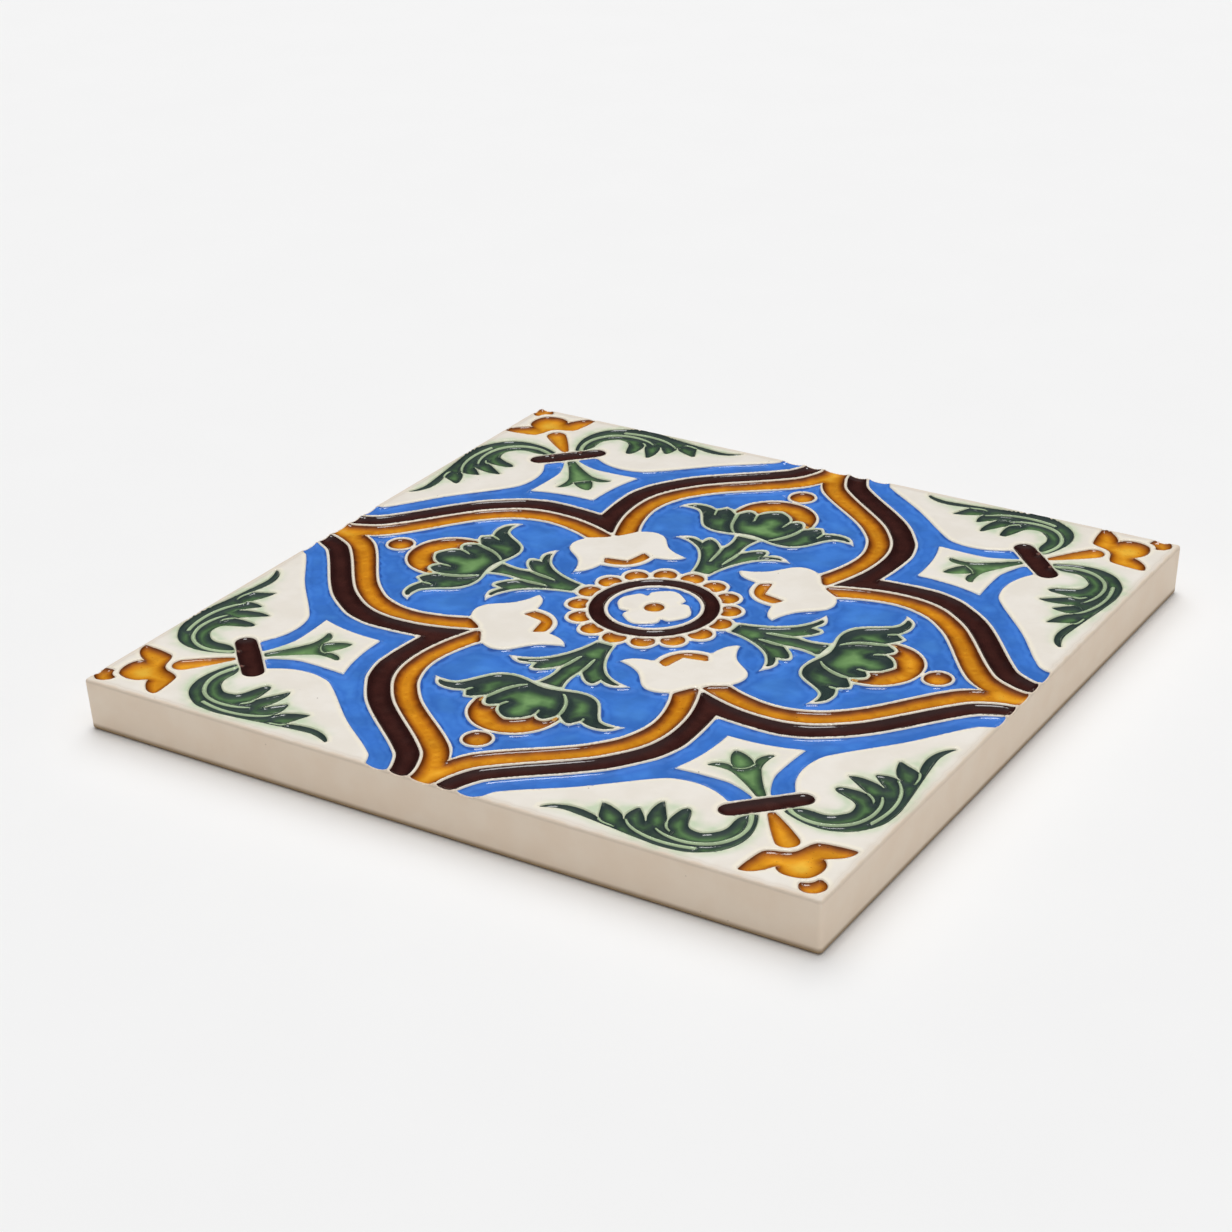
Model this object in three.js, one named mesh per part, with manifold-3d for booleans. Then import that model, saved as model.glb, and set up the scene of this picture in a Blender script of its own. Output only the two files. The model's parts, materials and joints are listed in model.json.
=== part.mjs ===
// A square moulded relief tile: an earthenware body pressed with raised lines, and the coloured glazes
// that fill the wells between them. Millimetres, +Z up, the back face on z = 0, the centre on x = y = 0.
import * as THREE from "three";
import { mergeVertices } from "three/addons/utils/BufferGeometryUtils.js";
import Module from "manifold-3d";

const wasm = await Module();
wasm.setup();

// Body
const tileSide = 140;
const tileThickness = 9.5;
const cornerRadius = 0.7; // upright edges
const arrisRadius = 0.5; // rounding round the face
const arrisSteps = 3;
const backChamfer = 0.4;
const draft = 0.3; // the sides lean in by this much towards the back

// Relief
const wellDepth = 1.1; // from the raised lines down to the floor of a well
const ridgeWidth = 0.85; // raised line between two colours
const glazeDrop = 0.4; // from the raised lines down to the fired glaze
const glazeSeat = 0.05; // clearance all round a glaze fill in its well
const glazeSetback = 0.35; // a fill that runs out stops this far inside the tile's side

// Keying grooves on the back
const grooveCount = 8;
const groovePitch = 12.5;
const grooveWidth = 5;
const grooveDepth = 0.9;
const grooveMargin = 13; // plain border round the grooves

// Ornament, drawn for a side of 140, where a band that runs out ends at 72.5, past the side
const scale = tileSide / 140;
const shiftX = -0.7 * scale; // the ornament sits this far off the middle of the pressed slab
const shiftY = 0.8 * scale;
const facet = 0.34; // most that a flat facet may stand off its curve

const half = tileSide / 2;
const overshoot = 1; // cutters stand this far proud of what they cut

const colours = {
  biscuit: { color: 0xd9cfc0, roughness: 0.6 },
  blue: { color: 0x3f78cf, roughness: 0.12 },
  brown: { color: 0x3d2425, roughness: 0.2 },
  amber: { color: 0xb9701c, roughness: 0.12 },
  green: { color: 0x3f6344, roughness: 0.12 },
};

// Outlines

// A line through the points of each run: smooth within a run, with a corner where two runs meet.
function line(...runs) {
  const path = new THREE.Path();
  path.moveTo(runs[0][0][0] * scale, runs[0][0][1] * scale);
  for (const run of runs) {
    const points = run.slice(1).map(([x, y]) => new THREE.Vector2(x, y).multiplyScalar(scale));
    path.splineThru(points);
  }
  return thin(tidy(path.getPoints(24)));
}

// Drops points that repeat the one before.
function tidy(points) {
  return points.filter((p, i) => i === 0 || p.distanceTo(points[i - 1]) > 1e-4);
}

function circle(x, y, radius) {
  const steps = 4 * Math.ceil(Math.PI / Math.acos(1 - facet / radius) / 4);
  const points = [];
  for (let i = 0; i < steps; i++) {
    const turn = (2 * Math.PI * i) / steps;
    points.push(new THREE.Vector2(x + radius * Math.cos(turn), y + radius * Math.sin(turn)));
  }
  return points;
}

function rectangle(left, front, right, back) {
  const corners = [[left, front], [right, front], [right, back], [left, back]];
  return corners.map(([x, y]) => new THREE.Vector2(x, y));
}

// The same line flipped across x = 0 and walked backwards.
function flipped(points) {
  return points.map((p) => new THREE.Vector2(-p.x, p.y)).reverse();
}

// The same line flipped across x = y and walked backwards.
function swapped(points) {
  return points.map((p) => new THREE.Vector2(p.y, p.x)).reverse();
}

// A closed outline from its right half, which starts and ends on x = 0.
function bothHalves(right) {
  return tidy([...right, ...flipped(right)]).slice(0, -1);
}

// From the frame whose +Y runs along the diagonal to the tile's own frame, or the same turned in steps.
function turned(points, angle) {
  return points.map((p) => p.clone().rotateAround(new THREE.Vector2(), angle));
}

function onDiagonal(points) {
  return turned(points, -Math.PI / 4);
}

// The line moved sideways by a distance, to the left of its travel, with mitred corners.
function beside(points, distance, closed = false) {
  const count = points.length;
  const normal = (a, b) => new THREE.Vector2(a.y - b.y, b.x - a.x).normalize();
  return points.map((p, i) => {
    const before = i > 0 ? points[i - 1] : closed ? points[count - 1] : null;
    const after = i < count - 1 ? points[i + 1] : closed ? points[0] : null;
    const first = before ? normal(before, p) : normal(p, after);
    const second = after ? normal(p, after) : first;
    const middle = first.clone().add(second).normalize();
    const mitre = Math.min(1 / Math.max(middle.dot(first), 0.1), 4);
    return p.clone().addScaledVector(middle, distance * mitre);
  });
}

// A closed outline moved inwards, or outwards by a negative distance.
function inset(points, distance) {
  const anticlockwise = THREE.ShapeUtils.area(points) > 0;
  return beside(points, anticlockwise ? distance : -distance, true);
}

// The outline of a bar of a given width, with round ends.
function bar(points, width) {
  const left = beside(points, width / 2);
  const right = beside(points, -width / 2).reverse();
  const cap = (from, to) => {
    const centre = from.clone().add(to).multiplyScalar(0.5);
    return [1, 2, 3].map((i) => from.clone().rotateAround(centre, (-Math.PI * i) / 4));
  };
  return [...left, ...cap(left.at(-1), right[0]), ...right, ...cap(right.at(-1), left[0])];
}

// Leaves out the points that a line doesn't need to stay within the facet tolerance.
function thin(points) {
  const flat = points.map((p) => new THREE.Vector3(p.x, p.y, 0));
  const near = new THREE.Vector3();
  const keep = (from, to) => {
    const span = new THREE.Line3(flat[from], flat[to]);
    let worst = 0;
    let at = -1;
    for (let i = from + 1; i < to; i++) {
      const off = span.closestPointToPoint(flat[i], true, near).distanceTo(flat[i]);
      if (off > worst) [worst, at] = [off, i];
    }
    return worst > facet ? [...keep(from, at), ...keep(at, to)] : [points[from]];
  };
  return [...keep(0, points.length - 1), points.at(-1)];
}

// Solids

function solidOf(geometry) {
  const bare = geometry.index ? geometry.toNonIndexed() : geometry.clone();
  bare.deleteAttribute("normal");
  bare.deleteAttribute("uv");
  const merged = mergeVertices(bare, 1e-4);
  const mesh = new wasm.Mesh({
    numProp: 3,
    vertProperties: merged.attributes.position.array,
    triVerts: new Uint32Array(merged.index.array),
  });
  return new wasm.Manifold(mesh);
}

function geometryOf(solid) {
  const mesh = solid.getMesh();
  const geometry = new THREE.BufferGeometry();
  geometry.setAttribute("position", new THREE.BufferAttribute(new Float32Array(mesh.vertProperties), 3));
  geometry.setIndex(new THREE.BufferAttribute(new Uint32Array(mesh.triVerts), 1));
  const faceted = geometry.toNonIndexed();
  faceted.computeVertexNormals();
  return faceted;
}

function prism(outline, bottom, top) {
  const shape = new THREE.Shape(outline);
  const geometry = new THREE.ExtrudeGeometry(shape, { depth: top - bottom, bevelEnabled: false });
  return solidOf(geometry.translate(0, 0, bottom));
}

// What lies between the floor and the top of a well. Shrunk by a clearance, it is the glaze that fills it.
// A well has an edge and may have raised islands that stand in it.
function fill(well, shrink, bottom, top) {
  let solid = prism(inset(well.edge, shrink), bottom, top);
  for (const island of well.islands ?? []) {
    solid = solid.subtract(prism(inset(island, -shrink), bottom - overshoot, top + overshoot));
  }
  return solid;
}

// A stack of rounded squares, one a step further in or up than the last.
function roundedSquare(inward) {
  const side = half - inward;
  const radius = cornerRadius - inward * 0.4;
  const shape = new THREE.Shape();
  shape.moveTo(side, -side + radius);
  shape.lineTo(side, side - radius);
  shape.absarc(side - radius, side - radius, radius, 0, Math.PI / 2, false);
  shape.lineTo(-side + radius, side);
  shape.absarc(-side + radius, side - radius, radius, Math.PI / 2, Math.PI, false);
  shape.lineTo(-side, -side + radius);
  shape.absarc(-side + radius, -side + radius, radius, Math.PI, 1.5 * Math.PI, false);
  shape.lineTo(side - radius, -side);
  shape.absarc(side - radius, -side + radius, radius, 1.5 * Math.PI, 2 * Math.PI, false);
  return tidy(shape.getPoints(3)).slice(0, -1);
}

function loft(rings) {
  const count = rings[0].outline.length;
  const positions = rings.flatMap(({ outline, z }) => outline.flatMap((p) => [p.x, p.y, z]));
  const faces = [];
  for (let r = 0; r < rings.length - 1; r++) {
    for (let i = 0; i < count; i++) {
      const a = r * count + i;
      const b = r * count + ((i + 1) % count);
      faces.push(a, b, b + count, a, b + count, a + count);
    }
  }
  const cap = THREE.ShapeUtils.triangulateShape(rings[0].outline, []);
  const last = (rings.length - 1) * count;
  for (const [a, b, c] of cap) faces.push(c, b, a, last + a, last + b, last + c);
  const geometry = new THREE.BufferGeometry();
  geometry.setAttribute("position", new THREE.Float32BufferAttribute(positions, 3));
  geometry.setIndex(faces);
  return solidOf(geometry);
}

// Ridge lines of one lobe, right half, from the tile's side in to the diagonal

// Between the blue field and the amber band, from the lobe's point.
const innerLine = line(
  [[0, 62.9], [1, 60.9], [3, 58.4], [6, 56], [10, 53], [14, 49.9], [17, 46.9], [19.4, 43.9],
    [21, 40.2], [21.6, 36.3], [21.1, 32.2], [19.9, 28.2], [18.3, 24.4]],
);
// Between the amber and brown bands.
const middleLine = line(
  [[2.2, 72.5], [2.9, 68], [4.2, 64.8], [6.6, 61.4], [10, 58.6], [14, 55.7], [18, 52.3],
    [21.5, 48.5], [24, 44.8], [25.4, 41], [25.85, 36.6], [25.4, 31.6], [24.2, 27], [22.5, 22.5]],
);
// Between the brown band and the outer blue band.
const outerLine = line(
  [[5.8, 72.5], [7.3, 68], [9.2, 65], [12.6, 62], [16.6, 59], [20.6, 55.8], [24.5, 52],
    [27.4, 48], [29.3, 44], [30.2, 39.6], [30.2, 34.8], [29.55, 29.55]],
);
// The outer blue band against the ground, out to the clasp.
const groundLine = line(
  [[8.9, 72.5], [11.6, 68], [16.7, 64], [22.1, 60], [26.5, 56], [29.6, 53.1], [32.3, 51.1],
    [35.2, 50], [38, 49.75], [40.6, 50.15], [42.8, 51], [44.8, 52.2]],
);
// The same band round the small diamond, from the clasp in to the diagonal.
const diamondLine = line(
  [[47.4, 49.6], [45, 48.4], [42.8, 47.6], [40.4, 47.2], [37.8, 47.1], [35, 47.3], [32.1, 47.7]],
  [[32.1, 47.7], [33.1, 44.6], [33.8, 41.2], [34.1, 37.6], [34.15, 34.15]],
);

// Motifs of one lobe, which stand upright on x = 0

const beadCount = 16;
const beadOrbit = 13.25 * scale;
const beadRadius = 2 * scale;
const ringInner = 9 * scale;
const ringOuter = 11.4 * scale;
const ringRidge = 1 * scale; // raised ring between the brown ring and the beads
const rosetteWell = 8 * scale;
const buttonRadius = 1.65 * scale;
const globe = { y: 43.6 * scale, radius: 7.8 * scale };
const budDot = { y: 54.9 * scale, radius: 2.2 * scale };

const rosettePetal = line(
  [[0, 7.3], [0.5, 6.75], [1.6, 6.4], [2.7, 5.95], [3.45, 5.35], [3.75, 4.6]],
  [[3.75, 4.6], [3.4, 3.4]],
);
const stemOutline = bothHalves(line(
  [[0, 33.9], [2.6, 33.9]],
  [[2.6, 33.9], [1.95, 31.6], [1.75, 29.4], [2.1, 27.2]],
  [[2.1, 27.2], [2.8, 28], [3.7, 29.1], [4.8, 29.9], [5.7, 30.2], [6.35, 29.8], [6.6, 28.1]],
  [[6.6, 28.1], [7.9, 28.8], [9.2, 29], [10.4, 28.6], [11.2, 27.8]],
  [[11.2, 27.8], [9.8, 27.6], [8.3, 27], [6.6, 25.9], [5.2, 24.5], [3.9, 22.5], [2.9, 20.3],
    [2.2, 18.2], [1.8, 16]],
  [[1.8, 16], [0, 16]],
));
const calyxOutline = bothHalves(line(
  [[0, 47], [1.2, 46.4], [2.5, 45.5], [3.3, 44.4], [3.5, 43.4]],
  [[3.5, 43.4], [4.1, 44.1], [4.8, 44.5], [5.6, 44.5], [6.3, 44], [6.7, 43.1], [7.1, 41.9]],
  [[7.1, 41.9], [8.2, 42.9], [9.4, 43.7], [10.4, 43.8], [11.1, 43.1], [11.4, 42]],
  [[11.4, 42], [12.6, 42.6], [14.2, 42.9], [15.8, 42.7], [17.2, 41.8], [18, 40.4]],
  [[18, 40.4], [16.6, 40.7], [15.2, 40.6], [13.9, 40], [12.9, 39], [12.1, 37.7], [11.3, 36.2],
    [10.3, 34.8], [9, 33.9], [7.4, 33.4], [5.8, 33.4], [4.3, 33.8], [2.2, 34.4], [0, 34.6]],
));

// Motifs on the diagonal, drawn upright on x = 0 in its frame

const tulipOutline = bothHalves(line(
  [[0, 31.1], [2.2, 31.6], [4.6, 32.1]],
  [[4.6, 32.1], [6.8, 31.5], [8.4, 30.3], [9.15, 28.8], [9.2, 27], [8.9, 25], [8.8, 23.4], [9.2, 21.8],
    [10, 20.2], [10.8, 18.4]],
  [[10.8, 18.4], [9.2, 18], [7.7, 18.25], [6.4, 18.85], [5.1, 19.8]],
  [[5.1, 19.8], [3.9, 18.7], [2.5, 17.85], [1.2, 17.45], [0, 17.35]],
));
const crescentOutline = bothHalves(line(
  [[0, 20], [1.1, 20.8], [2.2, 21.3], [3.1, 21.8], [3.65, 22.5]],
  [[3.65, 22.5], [4.15, 20.6]],
  [[4.15, 20.6], [3.2, 19.7], [2, 19], [1, 18.65], [0, 18.55]],
));
const sprigOutline = bothHalves(line(
  [[0, 68.4], [0.65, 68.4]],
  [[0.65, 68.4], [0.85, 66.5], [1.15, 64.5], [1.5, 62.5], [1.95, 60.8], [2.7, 59.4], [3.6, 58.2],
    [5.5, 56.8]],
  [[5.5, 56.8], [4.6, 56.4], [3.5, 56.6], [2.5, 57.3], [1.75, 58.4]],
  [[1.75, 58.4], [1.4, 57.2], [1.3, 55.9], [0.9, 54.7], [0, 53.5]],
));
const clasp = { y: 71.1 * scale, length: 15 * scale, width: 3.5 * scale };
const teardropOutline = bothHalves(line(
  [[0, 84.1], [1.25, 83.6], [1.75, 82.5], [1.7, 81.1], [1.4, 79.4], [1.05, 77.4], [0.75, 75.4],
    [0.45, 73.6]],
  [[0.45, 73.6], [0, 73.6]],
));
const fleurOutline = bothHalves(line(
  [[0, 93], [1.3, 92.5], [2.5, 91.7], [3.3, 90.7], [3.6, 89.5], [3.55, 88.4]],
  [[3.55, 88.4], [4.4, 88.3], [5.6, 88.7], [6.9, 89], [8.1, 88.7], [9.2, 87.9]],
  [[9.2, 87.9], [7.7, 86.7], [6.4, 85.4], [5.1, 84.4], [3.8, 84.1], [2.5, 84.5], [1.2, 85.2], [0, 85.5]],
));
// A dot with a bite taken out of it by the raised line round the fleur's foot.
const cornerDotOutline = bothHalves(line(
  [[0, 97.2], [1.1, 96.9], [1.85, 96.1], [2, 95.2], [1.8, 94.4], [1.4, 93.8]],
  [[1.4, 93.8], [0.8, 94.25], [0, 94.4]],
));

// The scrolled leaf beside the diagonal, in the tile's frame

const acanthusOutline = line(
  [[50.6, 53.6], [51.6, 55.8], [52.3, 58.2], [52.55, 60.6], [52.1, 63], [51, 65.2], [49.1, 67], [46.8, 68.2],
    [44, 68.7], [41, 68.7], [37.5, 68.3], [34, 67.8], [30.5, 67.3], [27, 66.8], [24, 66.8],
    [22.2, 67.2], [20.4, 68]],
  [[20.4, 68], [21.6, 66.6], [23.4, 65.7], [25.4, 65.4], [27.6, 65.6], [30.1, 66.3]],
  [[30.1, 66.3], [29.4, 65], [28.7, 63.6], [28.2, 62]],
  [[28.2, 62], [30, 62.5], [31.6, 63.1], [32.9, 64], [33.7, 64.9]],
  [[33.7, 64.9], [33.3, 63.4], [33.4, 62], [33.9, 60.6]],
  [[33.9, 60.6], [35, 61.5], [36, 62.6], [36.9, 63.7]],
  [[36.9, 63.7], [36.3, 62.1], [35.9, 60.2], [35.8, 58.6], [36.2, 57.1]],
  [[36.2, 57.1], [37.2, 58.1], [38.1, 59.5], [38.9, 61], [39.8, 62.4]],
  [[39.8, 62.4], [40.1, 61], [39.9, 59.6], [39.8, 58.3], [40.4, 57.1]],
  [[40.4, 57.1], [41.3, 57.8], [41.7, 59.2], [42.2, 60.6], [43.1, 61.8], [44.5, 62.5], [46.1, 62.4],
    [47.5, 61.5], [48.4, 60.1], [48.8, 58.5], [48.9, 57], [48.7, 55.6]],
  [[48.7, 55.6], [50.6, 53.6]],
).slice(0, -1);

// Wells, each with its fill's name and colour

const ridge = ridgeWidth / 2;

function beadCentres() {
  const beads = [];
  for (let i = 0; i < beadCount; i++) {
    const turn = (2 * Math.PI * i) / beadCount;
    beads.push({ x: beadOrbit * Math.sin(turn), y: beadOrbit * Math.cos(turn) });
  }
  return beads;
}

// The whole inner line round the four lobes, closed across the feet of the tulips.
function lobedOutline() {
  const lobe = [...flipped(innerLine), ...innerLine.slice(1)];
  return [0, 1, 2, 3].flatMap((i) => turned(lobe, (-Math.PI / 2) * i));
}

// Eight rosette petal halves, round the centre.
function rosetteOutline() {
  const quarter = [...rosettePetal, ...swapped(rosettePetal).slice(1, -1)];
  return [0, 1, 2, 3].flatMap((i) => turned(quarter, (-Math.PI / 2) * i));
}

function fieldWell() {
  const quarters = [0, 1, 2, 3].map((i) => (-Math.PI / 2) * i);
  const upright = [
    inset(stemOutline, -ridge),
    inset(calyxOutline, -ridge),
    circle(0, globe.y, globe.radius + ridgeWidth),
    circle(0, budDot.y, budDot.radius + ridgeWidth),
    onDiagonal(tulipOutline),
  ];
  return {
    edge: inset(lobedOutline(), ridge),
    islands: [
      circle(0, 0, ringOuter + 2 * ringRidge),
      ...beadCentres().map(({ x, y }) => circle(x, y, beadRadius + 1.25 * ridgeWidth)),
      ...quarters.flatMap((angle) => upright.map((outline) => turned(outline, angle))),
    ],
  };
}

function lobeWell() {
  const outer = beside(middleLine, -ridge);
  const inner = beside(innerLine, ridge);
  const point = new THREE.Vector2(0, inner[0].y + ridge);
  const right = [...outer, ...[point, ...inner.slice(1)].reverse()];
  return {
    edge: [...right, ...flipped(right).slice(1)],
    islands: [onDiagonal(tulipOutline), turned(tulipOutline, Math.PI / 4)],
  };
}

function brownWell() {
  const inner = beside([...middleLine, ...swapped(middleLine).slice(1)], ridge);
  const outer = beside([...outerLine, ...swapped(outerLine).slice(1)], -ridge);
  return { edge: [...inner, ...outer.reverse()] };
}

function outerBlueWell() {
  const inner = beside([...outerLine, ...swapped(outerLine).slice(1)], ridge);
  const outer = [...groundLine, ...diamondLine];
  const around = [...outer, ...swapped(outer).slice(1)];
  return { edge: [...inner, ...around.reverse()] };
}

function globeWell() {
  const islands = [inset(calyxOutline, -ridge)];
  return { edge: circle(0, globe.y, globe.radius), islands };
}

function stemWell() {
  return { edge: inset(stemOutline, ridge) };
}

function calyxWell() {
  return { edge: inset(calyxOutline, ridge) };
}

function claspWell() {
  const reach = (clasp.length - clasp.width) / 2;
  const middle = [new THREE.Vector2(-reach, clasp.y), new THREE.Vector2(reach, clasp.y)];
  return { edge: onDiagonal(bar(middle, clasp.width)) };
}

function acanthusWell(mirrored) {
  return { edge: mirrored ? swapped(acanthusOutline) : acanthusOutline };
}

function beadWells() {
  const collar = circle(0, 0, ringOuter + ringRidge);
  return beadCentres().map(({ x, y }) => ({ edge: circle(x, y, beadRadius), islands: [collar] }));
}

const single = [
  ["field_blue_glaze", "blue", fieldWell()],
  ["rosette_blue_glaze", "blue", { edge: circle(0, 0, rosetteWell), islands: [rosetteOutline()] }],
  ["ring_brown_glaze", "brown", { edge: circle(0, 0, ringOuter), islands: [circle(0, 0, ringInner)] }],
  ["button_amber_glaze", "amber", { edge: circle(0, 0, buttonRadius) }],
];
// One each for the lobes at the back, right, front and left.
const perLobe = [
  ["lobe_amber_glaze", "amber", lobeWell()],
  ["bud_amber_glaze", "amber", globeWell()],
  ["calyx_green_glaze", "green", calyxWell()],
  ["stem_green_glaze", "green", stemWell()],
];
// One each for the corners at the back right, front right, front left and back left.
const perCorner = [
  ["border_brown_glaze", "brown", brownWell()],
  ["border_blue_glaze", "blue", outerBlueWell()],
  ["tulip_amber_glaze", "amber", { edge: onDiagonal(crescentOutline) }],
  ["sprig_green_glaze", "green", { edge: onDiagonal(sprigOutline) }],
  ["clasp_brown_glaze", "brown", claspWell()],
  ["teardrop_amber_glaze", "amber", { edge: onDiagonal(teardropOutline) }],
  ["fleur_amber_glaze", "amber", { edge: onDiagonal(fleurOutline) }],
  ["leaf_one_green_glaze", "green", acanthusWell(false)],
  ["leaf_two_green_glaze", "green", acanthusWell(true)],
];
const lobeNames = ["back", "right", "front", "left"];
const cornerNames = ["back_right", "front_right", "front_left", "back_left"];

// Small wells whose thin glaze is part of the body here: the beads and the dots.
function smallWells() {
  const budDots = turnedCopies({ edge: circle(0, budDot.y, budDot.radius) });
  const cornerDots = turnedCopies({ edge: onDiagonal(cornerDotOutline) });
  return [...beadWells(), ...budDots, ...cornerDots];
}

function turnedCopies(well) {
  return [0, 1, 2, 3].map((i) => ({ edge: turned(well.edge, (-Math.PI / 2) * i) }));
}

// The body

function biscuitSlab() {
  const rings = [
    { outline: roundedSquare(draft + backChamfer), z: 0 },
    { outline: roundedSquare(draft), z: backChamfer },
    { outline: roundedSquare(0), z: tileThickness - arrisRadius },
  ];
  for (let i = 1; i <= arrisSteps; i++) {
    const lean = (Math.PI / 2) * (i / arrisSteps);
    const inward = arrisRadius * (1 - Math.cos(lean));
    const z = tileThickness - arrisRadius + arrisRadius * Math.sin(lean);
    rings.push({ outline: roundedSquare(inward), z });
  }
  return loft(rings);
}

function keyingGrooves() {
  const reach = half - grooveMargin;
  const grooves = [];
  for (let i = 0; i < grooveCount; i++) {
    const x = (i - (grooveCount - 1) / 2) * groovePitch;
    const wide = grooveWidth / 2;
    grooves.push(prism(rectangle(x - wide, -reach, x + wide, reach), -overshoot, grooveDepth));
  }
  return grooves;
}

const floor = tileThickness - wellDepth;
const cutTop = tileThickness + overshoot;

// A solid made at the back, turned to one of the four sides or corners and shifted with the ornament.
function placed(solid, i) {
  return solid.rotate([0, 0, -90 * i]).translate([shiftX, shiftY, 0]);
}

function tileBody() {
  const cutters = keyingGrooves();
  for (const well of [...single.map((row) => row[2]), ...smallWells()]) {
    cutters.push(placed(fill(well, 0, floor, cutTop), 0));
  }
  for (const [, , well] of [...perLobe, ...perCorner]) {
    const cutter = fill(well, 0, floor, cutTop);
    for (let i = 0; i < 4; i++) cutters.push(placed(cutter, i));
  }
  return cutters.reduce((solid, cutter) => solid.subtract(cutter), biscuitSlab());
}

// A glaze fill in its own place's frame, cut off short of the tile's side where its well runs out.
function glazeFill(well, i) {
  const side = half - glazeSetback;
  const slab = prism(rectangle(-side, -side, side, side), floor - overshoot, cutTop);
  const within = slab.translate([-shiftX, -shiftY, 0]).rotate([0, 0, 90 * i]);
  return fill(well, glazeSeat, floor + glazeSeat, tileThickness - glazeDrop).intersect(within);
}

function meshOf(name, finish, solid) {
  const material = new THREE.MeshStandardMaterial({ ...colours[finish], metalness: 0 });
  const mesh = new THREE.Mesh(geometryOf(solid), material);
  mesh.name = name;
  return mesh;
}

const ornament = new THREE.Group();
ornament.name = "ornament";
ornament.position.set(shiftX, shiftY, 0);
for (const [name, finish, well] of single) ornament.add(meshOf(name, finish, glazeFill(well, 0)));
for (const [wells, places] of [[perLobe, lobeNames], [perCorner, cornerNames]]) {
  for (const [name, finish, well] of wells) {
    places.forEach((place, i) => {
      const mesh = meshOf(`${name}_${place}`, finish, glazeFill(well, i));
      mesh.rotation.z = (-Math.PI / 2) * i;
      ornament.add(mesh);
    });
  }
}

const tile = new THREE.Group();
tile.name = "relief_tile";
tile.add(meshOf("tile_body", "biscuit", tileBody()), ornament);

export default tile;
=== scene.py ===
import json
import math

import bpy
import numpy as np
from mathutils import Matrix, Vector
from mathutils.geometry import delaunay_2d_cdt


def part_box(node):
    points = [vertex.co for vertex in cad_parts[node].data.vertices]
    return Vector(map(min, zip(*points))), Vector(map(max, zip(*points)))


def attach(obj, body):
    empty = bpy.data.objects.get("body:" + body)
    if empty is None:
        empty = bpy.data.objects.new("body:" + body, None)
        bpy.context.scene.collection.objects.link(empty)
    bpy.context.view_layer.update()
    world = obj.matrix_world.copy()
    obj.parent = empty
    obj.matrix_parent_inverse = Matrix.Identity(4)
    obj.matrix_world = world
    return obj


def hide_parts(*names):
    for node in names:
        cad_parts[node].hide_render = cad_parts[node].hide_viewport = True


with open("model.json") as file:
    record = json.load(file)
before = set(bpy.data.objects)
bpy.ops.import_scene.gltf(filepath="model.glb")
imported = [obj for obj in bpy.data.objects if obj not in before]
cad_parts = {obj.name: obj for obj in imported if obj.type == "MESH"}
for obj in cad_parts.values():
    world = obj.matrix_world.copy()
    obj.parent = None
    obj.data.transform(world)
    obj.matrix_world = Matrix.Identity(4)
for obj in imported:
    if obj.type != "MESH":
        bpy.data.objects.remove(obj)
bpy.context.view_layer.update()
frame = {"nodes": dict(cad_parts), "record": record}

# A moulded relief tile. The CAD gives the slab, the outline of every well and the colour that fills it.
# Here the whole face is one height field, in millimetres: raised lines with round crests, shallow pools
# of glaze between them, and the rounding down to the tile's sides. It is triangulated once and split
# into the body and the pools, so that every pool meets its raised line in the same points.

MM = 0.001


# Sizes from the frame

body_high = np.array(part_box("tile_body")[1]) / MM
half = body_high[0]
crest = body_high[2]
glaze_seat = 0.05  # a glaze lies this far above its well's floor
glaze_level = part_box("field_blue_glaze")[1][2] / MM
well_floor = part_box("field_blue_glaze")[0][2] / MM - glaze_seat
ornament_centre = sum(np.array(corner)[:2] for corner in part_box("button_amber_glaze")) / MM / 2
drawing_side = 140  # the side that the veins and the grooves are drawn for
drawing_scale = 2 * half / drawing_side

# Sizes of the fired surface

overlap = 0.17  # how far the glaze creeps up the flank of a raised line
small_overlap = 0.28  # and in the beads, the dots and the button
small_area = 30  # those wells are below this, in square mm
line_half_width = 0.28  # from a pool's edge to the crest of a raised line
edge_climb = 0.14  # how far the glaze climbs the raised lines
edge_level = glaze_level + edge_climb
line_height = crest - edge_level
line_unevenness = 0.05  # share of its height that comes and goes
pool_sag = 0.48  # from a pool's edge down to its level surface
meniscus = 0.56  # width over which a pool rises to its edge
pool_swell = 0.015  # height of the slow waves on a pool
ground_swell = 0.004  # and on the rest of the face
line_waves, pool_waves = (11, 5), (5, 8)  # length of the waves, and the seed of their draws
vein_top = crest - 0.06
highest = crest - 0.01
side_margin = 0.35  # a pool that runs out ends this far inside the side
# the glaze rises where a band runs out, and so does the clay beyond it: height, start and end
band_end_steps = ((0.26, 1.3, 0.4), (0.22, 0.4, 0.1))

# Sizes of the sides and the back

arris_radius = 0.5
corner_radius = 0.7
corner_tightening = 0.4  # loss of the corners' radius with each mm inside the sides
draft = 0.3  # the sides lean in towards the back
back_chamfer = 0.4
groove_count = 8
groove_pitch = 12.5 * drawing_scale
groove_half = np.array([2.5, 57]) * drawing_scale  # half its width and half its length
groove_round = 1.2
groove_core = groove_half - groove_round  # from its middle to the centres of its round corners
groove_depth = 0.9
groove_flank = (0.08, -0.48)  # its side falls between these distances from its outline

# Spacing of points

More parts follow.
